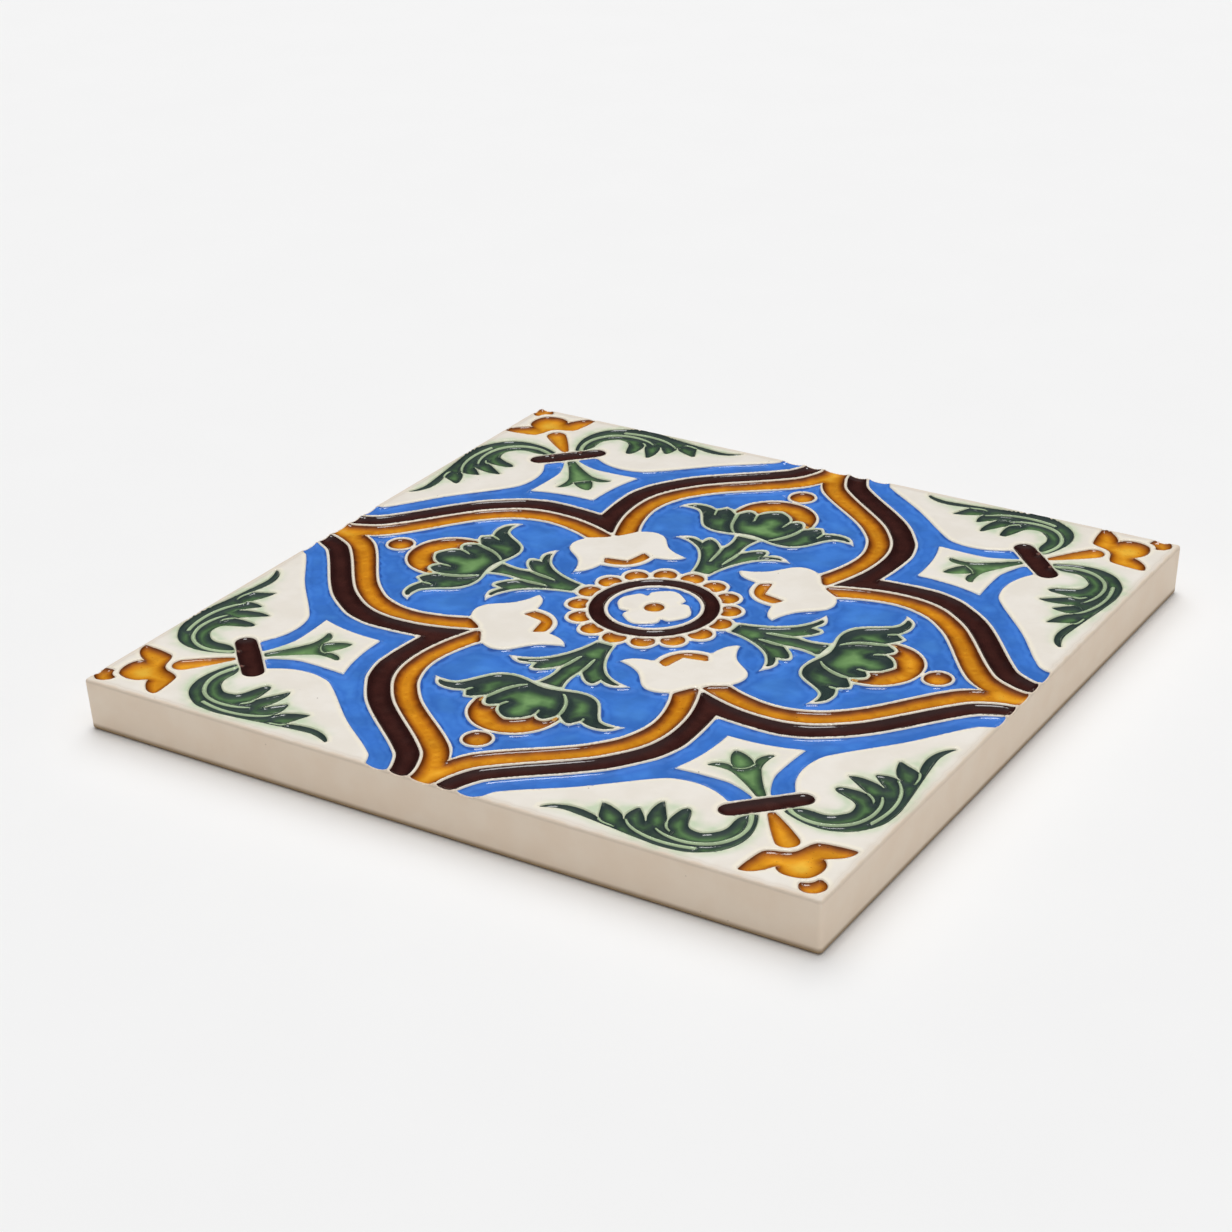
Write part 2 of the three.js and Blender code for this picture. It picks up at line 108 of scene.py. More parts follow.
fine_step = 0.06
edge_step = 0.42
side_step = 0.7
ground_step = 1.5
back_step = 3
line_rings = (0.07, 0.14, 0.21, 0.29)
shoulder_rings = (0.62, 0.95)
pool_rings = (0.08, 0.19, 0.35, 0.6, 0.95, 1.45)
arris_rings = (0.0, 0.05, 0.12, 0.22, 0.34, 0.5)
groove_rings = (0.04, -0.1, -0.22, -0.34, -0.5)
vein_rows = (0, 0.16, -0.16, 0.34, -0.34, 0.6, -0.6)
vein_gap, ring_gap, least_gap = 0.12, 0.13, 0.11  # squares that hold one point each
edge_gap = 0.12  # free points keep this far from the rings along the sides
filling_gap = 1.3  # and the even filling from the lines
vein_inset = 0.1  # the rows along the veins stay this far inside a pool
nearest_share, nearest_slack = 0.93, 0.012  # how exactly a ring's point has to lie at its distance

# The grid of the distance fields

cell = 0.125
grid_size = int(2 * half / cell) + 9
grid_origin = -cell * (grid_size - 1) / 2
grid_axis = grid_origin + cell * np.arange(grid_size)
grid_x, grid_y = np.meshgrid(grid_axis, grid_axis)
edge_search, vein_search = 6, 2  # how far off edges and veins are looked for
far_off = 9.0  # stands for any distance beyond that


# Outlines

def triples(items, key, kind=float):
    """Three numbers of each of a mesh's items, as an array."""
    values = np.empty(len(items) * 3, kind)
    items.foreach_get(key, values)
    return values.reshape(-1, 3)


def chains(edges):
    """Closed lines made of directed edges, as arrays of point numbers in order, each from its least on."""
    following = dict(sorted(edges.tolist()))
    loops = []
    while following:
        loop = [next(iter(following))]
        while loop[-1] in following:
            loop.append(following.pop(loop[-1]))
        loops.append(np.array(loop[:-1]))
    return loops


def border_edges(triangles):
    """The directed edges of a patch of triangles whose reverse belongs to no other of them."""
    edges = np.concatenate([triangles[:, [0, 1]], triangles[:, [1, 2]], triangles[:, [2, 0]]])
    size = triangles.max() + 1
    alone = ~np.isin(edges[:, 0] * size + edges[:, 1], edges[:, 1] * size + edges[:, 0])
    return edges[alone]


def level_loops(node, level):
    """The closed borders of a node's upward faces in one level plane, in mm: outer ones anticlockwise,
    inner ones clockwise. Corners that round to the same five-hundredth of a mm are one point."""
    rounding = 500
    mesh = node.data
    mesh.calc_loop_triangles()
    points = triples(mesh.vertices, "co") / MM
    corners = points[triples(mesh.loop_triangles, "vertices", int)]
    flat = (np.abs(corners[:, :, 2] - level) < 0.01).all(axis=1)
    corners = corners[flat][:, :, :2]
    upward = np.linalg.det(corners[:, 1:] - corners[:, :1]) > 0
    keys, index = np.unique(np.round(corners[upward].reshape(-1, 2) * rounding), axis=0, return_inverse=True)
    return [keys[loop] / rounding for loop in chains(border_edges(index.reshape(-1, 3)))]


def area(loop):
    """Signed area of a closed outline, positive where it runs anticlockwise."""
    after = np.roll(loop, -1, axis=0)
    return np.sum(loop[:, 0] * after[:, 1] - loop[:, 1] * after[:, 0]) / 2


def unit(vectors):
    """Vectors divided by their lengths."""
    return vectors / np.maximum(np.linalg.norm(vectors, axis=-1, keepdims=True), 1e-9)


def curve_through(corners, closed=True, sharp_turn=58):
    """A smooth line through the corners of a faceted one, in fine steps. Each stretch is the cubic that
    passes each corner in the direction from the one before to the one after. Where the facets turn by
    more than sharp_turn degrees a corner stays, and the stretches beside it bend as arcs."""
    before, after = np.roll(corners, 1, axis=0), np.roll(corners, -1, axis=0)
    leaving = after - corners
    length = np.linalg.norm(leaving, axis=1, keepdims=True)
    chord = unit(leaving)
    turned = np.degrees(np.arccos(np.clip(np.sum(unit(corners - before) * chord, axis=1), -1, 1)))
    sharp = turned > sharp_turn
    if not closed:
        sharp[[0, -1]] = True
    first = unit(after - before)
    second = np.roll(first, -1, axis=0)
    sharp_first = sharp[:, None]
    sharp_second = np.roll(sharp, -1)[:, None]

    def along_chord(direction):
        return np.sum(direction * chord, axis=1, keepdims=True)

    def mirrored(direction):
        return 2 * along_chord(direction) * chord - direction

    def stretched(direction):
        return direction * length * 2 / (1 + along_chord(direction))

    start = np.where(sharp_first, np.where(sharp_second, chord, mirrored(second)), first)
    end = np.where(sharp_second, np.where(sharp_first, chord, mirrored(first)), second)
    start, end = stretched(start), stretched(end)
    counts = np.maximum(np.ceil(length[:, 0] / fine_step).astype(int), 1)
    if not closed:
        counts[-1] = 1
    piece = np.repeat(np.arange(len(corners)), counts)
    position = np.arange(len(piece)) - np.repeat(np.cumsum(counts) - counts, counts)
    t = (position / counts[piece])[:, None]
    return (
        (2 * t**3 - 3 * t**2 + 1) * corners[piece]
        + (t**3 - 2 * t**2 + t) * start[piece]
        + (3 * t**2 - 2 * t**3) * after[piece]
        + (t**3 - t**2) * end[piece]
    )


def soften(loop, passes):
    """Rounds a closed line's corners by averaging each point with its neighbours, some times over."""
    for _ in range(passes):
        loop = loop / 2 + (np.roll(loop, 1, axis=0) + np.roll(loop, -1, axis=0)) / 4
    return loop


def spaced(loop, step):
    """The same closed line with points at even distances."""
    closed = np.vstack([loop, loop[:1]])
    run = np.concatenate([[0], np.cumsum(np.linalg.norm(np.diff(closed, axis=0), axis=1))])
    count = max(int(round(run[-1] / step)), 8)
    at = np.arange(count) * run[-1] / count
    return np.stack([np.interp(at, run, closed[:, axis]) for axis in (0, 1)], axis=1)


def directions(loop):
    """Directions along a closed line, from the point before each of its points to the one after."""
    return unit(np.roll(loop, -1, axis=0) - np.roll(loop, 1, axis=0))


def right_of(along):
    """Directions turned a quarter to the right."""
    return np.stack([along[:, 1], -along[:, 0]], axis=1)


def normals(loop):
    """Directions square to a closed line, to the right of its travel: out of an anticlockwise outline."""
    return right_of(directions(loop))


def inside(point, loop):
    """Whether a point lies within a closed line, by the parity of the edges that a ray crosses."""
    x, y = point
    after = np.roll(loop, -1, axis=0)
    crossed = (loop[:, 1] > y) != (after[:, 1] > y)
    (x0, y0), (x1, y1) = loop[crossed].T, after[crossed].T
    return np.sum(x < x0 + (y - y0) * (x1 - x0) / (y1 - y0)) % 2 == 1


# Wells

slots = ["blue_glaze", "brown_glaze", "amber_glaze", "green_glaze"]
slot_of_node = {entry["node"]: entry["material_slot"] for entry in frame["record"]["subparts"]}
glaze_boxes = {
    name: np.concatenate([np.array(corner)[:2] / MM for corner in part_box(name)])
    for name in slot_of_node
    if name != "tile_body"
}
widest_miss = 1.6  # between a well's box and its glaze's, their four sides added up
bead_reach, bud_dot_reach = 20, 60  # from the middle
edge_softening = 14
band_end_softening = 30


def node_for(outline):
    """The glaze node whose box lies nearest to an outline's, or None for a well that has no node."""
    extent = np.concatenate([outline.min(axis=0), outline.max(axis=0)])
    miss, node = min((np.abs(box - extent).sum(), node) for node, box in glaze_boxes.items())
    return node if miss < widest_miss else None


def small_well_name(outline):
    """The name of a bead or dot, by its distance from the ornament's middle and its bearing."""
    x, y = outline.mean(axis=0) - ornament_centre
    reach = math.hypot(x, y)
    kind = "bead" if reach < bead_reach else "bud_dot" if reach < bud_dot_reach else "corner_dot"
    bearing = round(math.degrees(math.atan2(x, y)) * 2) / 2 % 360
    return f"{kind}_amber_{round(bearing):03d}_glaze"


def find_wells():
    """Every well of the body, from the borders of its floors: its pool's name, the node and the slot of
    its glaze, and its smoothed edges."""
    loops = level_loops(frame["nodes"]["tile_body"], well_floor)
    wells = []
    for outline in [loop for loop in loops if area(loop) > 0]:
        node = node_for(outline)
        name = (node or small_well_name(outline)).replace("_glaze", "_pool")
        slot = slot_of_node[node] if node else "amber_glaze"
        wells.append({"name": name, "node": node, "slot": slot, "faceted": [outline]})
    for island in [loop for loop in loops if area(loop) < 0]:
        holders = [well for well in wells if inside(island[0], well["faceted"][0])]
        holder = min(holders, key=lambda well: area(well["faceted"][0]))
        holder["faceted"].append(island)
    for well in wells:
        well["edges"] = [soften(curve_through(loop), edge_softening) for loop in well["faceted"]]
    return wells


wells = find_wells()


# Raised veins inside the leaves, in the ornament's own drawing: points from the wide end to the tip,
# height as a share of the raised lines' and half width

upright_veins = [
    # the forks between a stem and its side leaves
    ([(2.15, 28.5), (1.85, 26.6), (1.6, 24.2), (1.3, 21.6)], 0.95, 0.4),
    # the calyx: its long dividing lines and the short ones at the notches
    ([(7.15, 43.4), (6.9, 41.6), (6.45, 39.6), (5.7, 37.6), (4.5, 35.8), (3.5, 34.9)], 0.95, 0.4),
    ([(3.5, 44), (3.35, 42.8), (3, 41.4)], 0.9, 0.3),
    ([(11.4, 42.8), (11.3, 41.6), (10.9, 40.2)], 0.9, 0.3),
]
leaf_veins = [
    ([(49.4, 53.4), (50.5, 55.6), (51.1, 57.8), (51, 60.2), (50.1, 62.4), (48.5, 64.2), (46.2, 65.3),
      (43.6, 65.6), (41, 65.2), (38.9, 64.2)], 0.85, 0.46),
    ([(47, 66.5), (44.4, 67.1), (41.6, 67.3), (38.8, 67), (36.3, 66.2), (34.6, 65.2), (33.7, 64.3)],
     0.8, 0.42),
    ([(39.7, 62.2), (40.3, 63.3), (41.4, 64)], 0.7, 0.32),
    ([(30.1, 66.3), (31.4, 66.8), (33.2, 66.9)], 0.65, 0.32),
]
sprig_veins = [([(-1.9, 58.3), (0, 58.9), (1.9, 58.3)], 0.5, 0.28)]


def turn(points, angle):
    """Points turned clockwise about the origin by an angle in degrees."""
    cosine, sine = math.cos(math.radians(angle)), math.sin(math.radians(angle))
    x, y = points.T
    return np.stack([x * cosine + y * sine, y * cosine - x * sine], axis=1)


def vein_points():
    """Fine points along every vein in place, each with its height share and half width. A vein keeps its
    height for most of its length, sinks to half of it at its tip and narrows by a fifth."""
    places, heights, widths = [], [], []
    drawn = [(vein, 0, ("as_drawn", "mirrored")) for vein in upright_veins]
    drawn += [(vein, 45, ("as_drawn",)) for vein in sprig_veins]
    drawn += [(vein, 0, ("swapped", "as_drawn")) for vein in leaf_veins]
    for (points, height, width), angle, forms in drawn:
        line = curve_through(np.array(points, float), closed=False)[:-1]
        shapes = {"as_drawn": line, "mirrored": line * (-1, 1), "swapped": line[:, ::-1]}
        fade = np.linspace(0, 1, len(line))
        for form in forms:
            for quarter in range(4):
                placed = turn(shapes[form], angle + 90 * quarter) * drawing_scale + ornament_centre
                places.append(placed)
                heights.append(height * (1 - 0.5 * fade**8))
                widths.append(width * (1 - 0.2 * fade))
    return np.vstack(places), np.concatenate(heights), np.concatenate(widths)


vein_places, vein_heights, vein_widths = vein_points()


# Distance fields over the face

def cell_of(points):
    """Column and row of the cell nearest to each point."""
    return np.clip(np.round((points - grid_origin) / cell).astype(int), 0, grid_size - 1).T


def nearest_seed(seeds, reach):
    """The number of each cell's nearest seed point, or -1 past the reach, and its distance. Each cell takes
    the best of its neighbours' seeds at ever smaller steps (jump flooding)."""
    column, row = cell_of(seeds)
    index = np.full((grid_size, grid_size), -1)
    index[row, column] = np.arange(len(seeds))
    far = np.vstack([seeds, [[1e3, 1e3]]])

    def distance(candidate):
        return np.hypot(far[candidate, 0] - grid_x, far[candidate, 1] - grid_y)

    best = distance(index)
    step = 2 ** int(math.log2(reach / cell))
    while step >= 1:
        for shift_y in (-step, 0, step):
            for shift_x in (-step, 0, step):
                candidate = np.roll(index, (shift_y, shift_x), axis=(0, 1))
                away = distance(candidate)
                nearer = away < best
                index = np.where(nearer, candidate, index)
                best = np.where(nearer, away, best)
        step //= 2
    return index, best


def sample(field, points):
    """A grid's values at points, blended between the four cells round each."""
    place = np.clip((points - grid_origin) / cell, 0, grid_size - 1.001)
    low = place.astype(int)
    fx, fy = (place - low).T
    x, y = low.T
    return (
        field[y, x] * (1 - fx) * (1 - fy)
        + field[y, x + 1] * fx * (1 - fy)
        + field[y + 1, x] * (1 - fx) * fy
        + field[y + 1, x + 1] * fx * fy
    )


def sample_nearest(field, points):
    """A grid's values at the cells nearest to points."""
    column, row = cell_of(points)
    return field[row, column]


def parity(loops):
    """Whether each cell lies inside an odd number of closed lines: the crossings of each row of the grid,
    added up from the left. Edges are shorter than a cell, so each crosses one row at most."""
    start = np.vstack(loops)
    end = np.vstack([np.roll(loop, -1, axis=0) for loop in loops])
    row_start = np.ceil((start[:, 1] - grid_origin) / cell).astype(int)
    row_end = np.ceil((end[:, 1] - grid_origin) / cell).astype(int)
    crossing = row_start != row_end
    start, end = start[crossing], end[crossing]
    row = np.minimum(row_start, row_end)[crossing]
    share = (grid_origin + cell * row - start[:, 1]) / (end[:, 1] - start[:, 1])
    x = start[:, 0] + share * (end[:, 0] - start[:, 0])
    column = np.clip(np.ceil((x - grid_origin) / cell).astype(int), 0, grid_size - 1)
    counts = np.zeros((grid_size, grid_size), int)
    np.add.at(counts, (np.clip(row, 0, grid_size - 1), column), 1)
    return np.cumsum(counts, axis=1) % 2 == 1


def creep_up():
    """Moves every well's edge a little up the raised line beside it, along its own normals, and less
    where the line is thin: by half of the room that is left a short way out, up to the overlap."""
    short_way = 0.3
    loops = [loop for well in wells for loop in well["edges"]]
    _, away = nearest_seed(np.vstack(loops), 1)
    signed = np.where(parity(loops), -away, away)
    for well in wells:
        most = small_overlap if area(well["edges"][0]) < small_area else overlap
        crept = []
        for loop in well["edges"]:
            outward = normals(loop)
            room = sample(signed, loop + outward * short_way) / 2
            shift = soften(np.clip(room, 0, most)[:, None], 12)
            crept.append(np.clip(loop + outward * shift, -half, half))
        well["edges"] = crept


creep_up()
well_loops = [loop for well in wells for loop in well["edges"]]
edge_points = np.vstack(well_loops)
lined = np.abs(edge_points).max(axis=1) < half - 0.12  # the ends of a band that runs out raise no line
edge_points = edge_points[lined]
edge_along = np.vstack([directions(loop) for loop in well_loops])[lined]
edge_outward = right_of(edge_along)
nearest_edge, seed_distance = nearest_seed(edge_points, edge_search)


def edge_distance():
    """Distances to the lines themselves: the part of each that only comes from the seeds' spacing, along
    the line, is taken out."""
    most = fine_step * 0.6
    seed, along = edge_points[nearest_edge], edge_along[nearest_edge]
    slip = (grid_x - seed[:, :, 0]) * along[:, :, 0] + (grid_y - seed[:, :, 1]) * along[:, :, 1]
    return np.sqrt(np.maximum(seed_distance**2 - np.clip(slip, -most, most) ** 2, 0))


signed_distance = edge_distance() * np.where(parity(well_loops), -1, 1)
nearest_vein, vein_distance = nearest_seed(vein_places, vein_search)
vein_distance = np.minimum(vein_distance, far_off)


# The height of the face

def smooth_step(value, start, end):
    """0 up to the start and 1 past the end, with 3tt - 2ttt between them, t being the share of the way."""
    t = np.clip((value - start) / (end - start), 0, 1)
    return t**2 * (3 - 2 * t)


def waviness(points, size, seed):
    """A slow uneven wave between about -1 and 1: the sum of six sines in chosen directions."""
    chosen = np.random.default_rng(seed)
    total = np.zeros(len(points))
    for _ in range(6):
        angle, phase = chosen.uniform(0, 2 * math.pi, 2)
        length = size * chosen.uniform(0.7, 1.5)
        along = points @ np.array([math.cos(angle), math.sin(angle)])
        total += np.sin(along * 2 * math.pi / length + phase)
    return total / 3


def line_profile(distance):
    """Rise of a raised line from a pool's edge, as a share of its height: a quarter of a sine wave up to
    the crest, and level beyond it."""
    return np.sin(np.clip(distance / line_half_width, 0, 1) * math.pi / 2)


def sag(inward):
    """How far a pool's surface lies below its edge, at a distance inside it: an exponential."""
    return pool_sag * (1 - np.exp(-inward / meniscus))


def veins_at(points):
    """How high a vein stands at each point, as a share of the raised lines' height: a bell curve."""
    index = sample_nearest(nearest_vein, points)
    height = np.where(index >= 0, vein_heights[index], 0)
    return height * np.exp(-((sample(vein_distance, points) / vein_widths[index]) ** 2))


def arris_drop(points):
    """How far the rounding at the tile's sides lies below the level face: a quarter circle."""
    beyond = np.abs(points) - (half - corner_radius)
    inward = corner_radius - np.hypot(*np.maximum(beyond, 0).T) - np.minimum(beyond.max(axis=1), 0)
    within = np.clip(arris_radius - inward, 0, arris_radius)
    return arris_radius - np.sqrt(np.maximum(arris_radius**2 - within**2, 0))


def rim_distance(points):
    """How far inside the tile's nearest side each point lies."""
    return half - np.abs(points).max(axis=1)


def rise_at_side(points):
    """How much higher a band's glaze, and the clay beyond it, stand where the band runs out at the side:
    a smooth step for each."""
    rim = rim_distance(points)
    return sum(height * smooth_step(rim, start, end) for height, start, end in band_end_steps)


def face_height(points, distance):
    """Height of the fired face. Outside the wells it is the raised line's profile, and inside them the
    glaze, which sags from its edge, climbs the veins and rises where it runs out at the side."""
    uneven = 1 + line_unevenness * waviness(points, *line_waves)
    raised = edge_level + line_height * line_profile(distance) * uneven
    sunk = edge_level - sag(np.maximum(-distance, 0)) + pool_swell * waviness(points, *pool_waves)
    sunk += rise_at_side(points)
    climb = (vein_top - sunk) * veins_at(points)
    return np.minimum(np.where(distance > 0, raised, sunk + climb), highest) - arris_drop(points)


def steepness(function, points):
    """The slope of a height that is worked out directly from a place, by small differences."""
    small = 0.01
    along_x = function(points + (small, 0)) - function(points - (small, 0))
    along_y = function(points + (0, small)) - function(points - (0, small))
    return np.stack([along_x, along_y], axis=1) / (2 * small)


def face_normals(points, distance, in_pool):
    """Directions square to the face. Across a raised line or a pool's edge the height only changes square
    to the nearest edge, by the slope of its profile; veins, the arris and the swell add their own."""
    outward = edge_outward[sample_nearest(nearest_edge, points)]
    inward = np.maximum(-distance, 0)
    share = np.clip(distance / line_half_width, 0, 1) * math.pi / 2
    line_slope = line_height * math.pi / 2 / line_half_width * np.cos(share)
    pool_slope = pool_sag / meniscus * np.exp(-inward / meniscus)
    sunk = in_pool | (distance < -0.03)
    slope = outward * np.where(sunk, pool_slope, line_slope)[:, None]
    index = sample_nearest(nearest_vein, points)
    climb = (vein_top - edge_level + sag(inward)) * veins_at(points)
    from_vein = points - vein_places[index]
    slope -= np.where(sunk, climb * 2 / vein_widths[index] ** 2, 0)[:, None] * from_vein
    swell = steepness(lambda places: waviness(places, *pool_waves), points)
    slope += swell * np.where(sunk, pool_swell, ground_swell)[:, None]
    slope += steepness(rise_at_side, points) * sunk[:, None]
    slope -= steepness(arris_drop, points)
    return unit(np.column_stack([-slope, np.ones(len(points))]))


# Points of the face

def ring_points(loops, offsets, side):
    """Points beside closed lines at given distances, kept where no other line lies clearly nearer."""
    found = []
    for loop in loops:
        line = spaced(loop, edge_step)
        outward = normals(line)
        for offset in offsets:
            moved = line + outward * offset * side
            away = sample(signed_distance, moved) * side
            found.append(moved[away > offset * nearest_share - nearest_slack])
    return np.vstack(found)


def thinned(points, spacing):
    """Points with no two in one square of the given size."""
    _, first = np.unique(np.floor(points / spacing), axis=0, return_index=True)
    return points[np.sort(first)]


def rounded_square(inward):
    """Outline of the tile at a distance inside its sides, anticlockwise, with points at the same places
    along every such outline: straight runs joined by quarter circles."""
    side = half - inward
    radius = corner_radius - inward * corner_tightening
    run = side - radius
    count = int(2 * half / side_step)
    straight = np.linspace(-run, run, count)
    lean = np.linspace(0, math.pi / 2, 8)[1:-1]
    edge = np.stack([np.full(count, side), straight], axis=1)
    corner = np.stack([run + radius * np.cos(lean), run + radius * np.sin(lean)], axis=1)
    quarter = np.vstack([edge, corner])
    return np.vstack([turn(quarter, -90 * i) for i in range(4)])


def pool_edges(well):
    """Borders of a pool's surface: those of its well, kept inside the tile's side where it runs out."""
    reach = half - side_margin
    borders = []
    for loop in well["edges"]:
        kept = np.clip(loop, -reach, reach)
        if np.abs(loop).max() > reach:
            kept = soften(spaced(kept, fine_step), band_end_softening)
        borders.append(spaced(kept, edge_step))
    return borders


def even_filling(low, high, step, skewed=False):
    """A square lattice of points, or with every second row moved along by half a step."""
    axis = np.arange(low, high, step)
    x, y = np.meshgrid(axis, axis)
    if skewed:
        x = x + (np.arange(len(axis)) % 2)[:, None] * step / 2
    return np.stack([x.ravel(), y.ravel()], axis=1)


def face_points():
    """All free points of the face: rings beside the lines, rows along the veins and an even filling."""
    around = ring_points(well_loops, line_rings, 1)
    shoulders = ring_points(well_loops, shoulder_rings, 1)
    within = ring_points(well_loops, pool_rings, -1)
    along = vein_places[::5]
    across = -right_of(unit(np.roll(vein_places, -1, axis=0) - vein_places)[::5])
    veins = np.vstack([along + across * row for row in vein_rows])
    veins = veins[sample(signed_distance, veins) < -vein_inset]
    filling = even_filling(-half, half, ground_step, skewed=True)
    filling = filling[np.abs(sample(signed_distance, filling)) > filling_gap]
    rings = thinned(np.vstack([around, within]), ring_gap)
    free = np.vstack([thinned(veins, vein_gap), rings, shoulders, filling])
    level = np.abs(free).max(axis=1) < half - arris_rings[-1] - edge_gap
    return thinned(free[level], least_gap)


for well in wells:
    well["borders"] = pool_edges(well)


def triangulate(points, outlines, owners):
    """Triangles over points within the first of some closed outlines, given as arrays of point numbers,
    with all the outlines as edges. Each triangle also gets the owner whose outlines hold it an odd
    number of times, or -1: so a hole in a pool isn't the pool's."""
    turned_round = [line if area(points[line]) > 0 else line[::-1] for line in outlines]
    result = delaunay_2d_cdt([Vector(p) for p in points.tolist()], [], turned_round, 1, 1e-6, True)
    made = np.array([tuple(p) for p in result[0]])
    triangles = np.array(result[2])
    triangle = np.repeat(np.arange(len(triangles)), np.fromiter(map(len, result[5]), int))
    holder = np.concatenate(result[5]).astype(int)
    owned = holder > 0
    pairs = triangle[owned] * len(owners) + np.array(owners)[holder[owned]]
    pairs, times = np.unique(pairs, return_counts=True)
    pairs = pairs[times % 2 == 1]
    within = np.full(len(triangles), -1)
    within[pairs // len(owners)] = pairs % len(owners)
    source = np.array([numbers[0] if numbers else -1 for numbers in result[3]])
    return made, triangles, within, source


def numbers_of(lines, first=0):
    """The point numbers of each of some lines whose points follow one another from a first number on."""
    starts = np.cumsum([first] + [len(line) for line in lines])
    return [np.arange(start, end) for start, end in zip(starts, starts[1:])]


def triangulate_face():
    """One triangulation of the face with the pools' borders as its edges. Returns the points and, for
    each triangle, its corners and the well that it lies in, or -1 on the body."""
    rings = [rounded_square(inward) for inward in arris_rings]
    in_pool = parity([spaced(loop, fine_step) for well in wells for loop in well["borders"]])
    middle_rings = np.vstack(rings[1:])
    middle_rings = middle_rings[~sample_nearest(in_pool, middle_rings)]
    polygons = [rings[0]] + [border for well in wells for border in well["borders"]]
    owners = [0] + [number for number, well in enumerate(wells) for _ in well["borders"]]
    points = np.vstack([*polygons, middle_rings, face_points()])
    return triangulate(points, numbers_of(polygons), owners)[:3]


face_xy, face_triangles, face_well = triangulate_face()
face_count = len(face_xy)
face_distance = sample(signed_distance, face_xy)
face_places = np.column_stack([face_xy, face_height(face_xy, face_distance)])


# Fields for the colours

def blurred(mask, width):
    """A mask softened by a bell curve of a width in mm, through its frequencies."""
    frequency = np.fft.fftfreq(grid_size, cell)
    rows = np.exp(-2 * (math.pi * width * frequency) ** 2)
    columns = rows[: grid_size // 2 + 1]
    spectrum = np.fft.rfft2(mask) * rows[:, None] * columns[None, :]
    return np.fft.irfft2(spectrum, mask.shape)


stain_width, halo_width = 0.42, 1.5
slot_masks = [
    parity([loop for well in wells if well["slot"] == slot for loop in well["edges"]]).astype(float)
    for slot in slots
]
stain_fields = [blurred(mask, stain_width) for mask in slot_masks]
halo_field = blurred(slot_masks[slots.index("green_glaze")], halo_width)


# Pieces

materials = {}


def new_object(name, data):
    """An object with its data, in the scene."""
    made = bpy.data.objects.new(name, data)
    bpy.context.scene.collection.objects.link(made)
    return made


def add_piece(name, points, triangles, material, values, shaded):
    """A closed mesh piece from points in mm and triangles, with its per-point values for the material.
    Runs of triangles from the first on are shaded by normals given for their points."""
    used, index = np.unique(triangles, return_inverse=True)
    index = index.reshape(-1)
    mesh = bpy.data.meshes.new(name)
    mesh.vertices.add(len(used))
    mesh.vertices.foreach_set("co", (points[used] * MM).ravel())
    mesh.loops.add(len(index))
    mesh.loops.foreach_set("vertex_index", index)
    mesh.polygons.add(len(index) // 3)
    mesh.polygons.foreach_set("loop_start", np.arange(0, len(index), 3))
    mesh.update(calc_edges=True)
    for label, field in values.items():
        kind, key = ("FLOAT", "value") if field.ndim == 1 else ("FLOAT_COLOR", "color")
        mesh.attributes.new(label, kind, "POINT").data.foreach_set(key, field[used].ravel())
    mesh.shade_smooth()
    mesh.set_sharp_from_angle(angle=math.radians(50))
    shading = triples(mesh.corner_normals, "vector", np.float32)
    done = 0
    for run, point_normals in shaded:
        shading[done * 3 : (done + run) * 3] = point_normals[triangles[done : done + run].ravel()]
        done += run
    mesh.normals_split_custom_set(shading.tolist())
    mesh.materials.append(materials[material])
    piece = new_object(name, mesh)
    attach(piece, "root")
    return piece


def quads(a, b, c, d):
    """Two triangles for each four-sided face, given by the numbers of its corners in turn."""
    return np.concatenate([np.stack([a, b, c], axis=1), np.stack([a, c, d], axis=1)])


def walls(edges, lower, inward=False):
    """Faces below directed edges, down to points numbered by an offset from the edges' own. They face
    right of the edges' travel, or left of it where inward."""
    start, end = edges.T
    corners = (start, start + lower, end + lower, end)
    return quads(*(corners[::-1] if inward else corners))


def band(upper, lower):
    """Faces between two closed lines of as many points, that face right of their travel."""
    return quads(upper, lower, np.roll(lower, -1), np.roll(upper, -1))


def floor_triangles(loops_by_well):
    """Flat triangles within every well's border, by the face's own point numbers."""
    loops = [loop for loops in loops_by_well for loop in loops]
    owners = [0] + [number for number, loops in enumerate(loops_by_well) for _ in loops]
    outer = np.array([[-half, -half], [half, -half], [half, half], [-half, half]]) * 1.1
    numbers = np.concatenate([[-1] * len(outer), *loops])
    points = np.vstack([outer, face_xy[numbers[len(outer) :]]])
    outlines = [np.arange(len(outer))] + numbers_of(loops, len(outer))
    _, triangles, within, source = triangulate(points, outlines, owners)
    kept = within >= 0
    if (source[triangles[kept]] < len(outer)).any():
        raise ValueError("two pools' borders cross")
    return numbers[source[triangles[kept]]], within[kept]


def with_rest(face_values, total, elsewhere=0.0):
    """Values for the face's points, followed by one value for all the points after them."""
    rest = np.full((total - face_count, *face_values.shape[1:]), elsewhere)
    return np.concatenate([face_values, rest])


pool_triangles = [face_triangles[face_well == number] for number in range(len(wells))]
pool_borders = [border_edges(triangles) for triangles in pool_triangles]
flat_triangles, flat_well = floor_triangles([chains(edges) for edges in pool_borders])

# How much deeper a pool is coloured than it is, because its glaze fired paler, or less deep if darker
paler = {
    "border_blue": 0.06, "sprig": 0.16, "calyx": -0.2, "teardrop": 0.14, "fleur": 0.05,
    "corner_dot": 0.05, "bead": 0.1, "button": 0.1, "tulip": 0.13,
}


